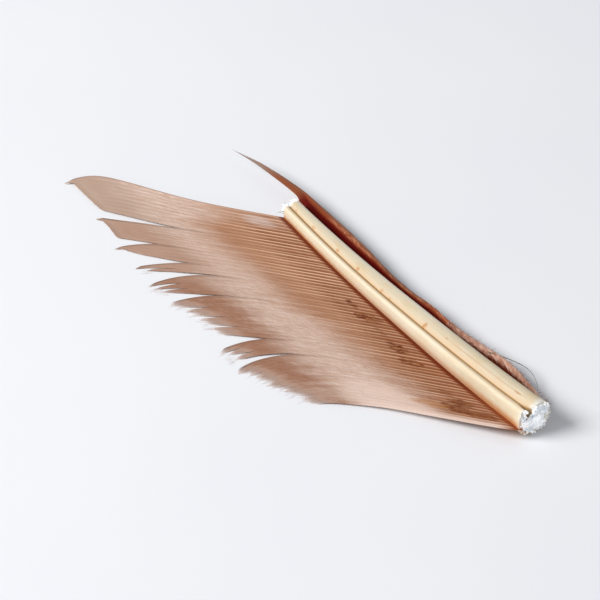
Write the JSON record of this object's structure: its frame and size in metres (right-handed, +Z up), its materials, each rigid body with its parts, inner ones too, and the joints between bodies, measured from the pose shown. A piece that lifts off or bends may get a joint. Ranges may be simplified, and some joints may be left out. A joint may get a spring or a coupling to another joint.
{
  "type": "turkey wing feather section",
  "caption": "Cut length of a turkey wing feather, grooved underside up: pale horn shaft with white pith, a wide vane split into locks and a narrow curled vane.",
  "frame": {"origin": "middle of the small flat under the shaft, at the shaft's mid-length, on the surface the feather lies on", "axes": "+Y along the shaft towards the thin, tip-side cut; +Z up, towards the grooved side; the narrow vane is on +X and the wide vane on -X"},
  "size_m": [0.0359, 0.0976, 0.0064],
  "materials": {
    "horn_shaft": "smooth satin horn, cream with amber shading in the groove",
    "pith": "matt white crumbly foam",
    "vane": "zipped barbs, rufous brown with a pale satin band, paler towards the tips"
  },
  "bodies": {
    "root": {"shaft": "horn_shaft", "pith": "pith", "wide_vane_lock_1": "vane", "wide_vane_lock_2": "vane", "wide_vane_lock_3": "vane", "wide_vane_lock_4": "vane", "wide_vane_lock_5": "vane", "wide_vane_lock_6": "vane", "wide_vane_lock_7": "vane", "wide_vane_lock_8": "vane", "narrow_vane_base": "vane", "narrow_vane_middle": "vane", "narrow_vane_tip": "vane"}
  },
  "joints": []
}
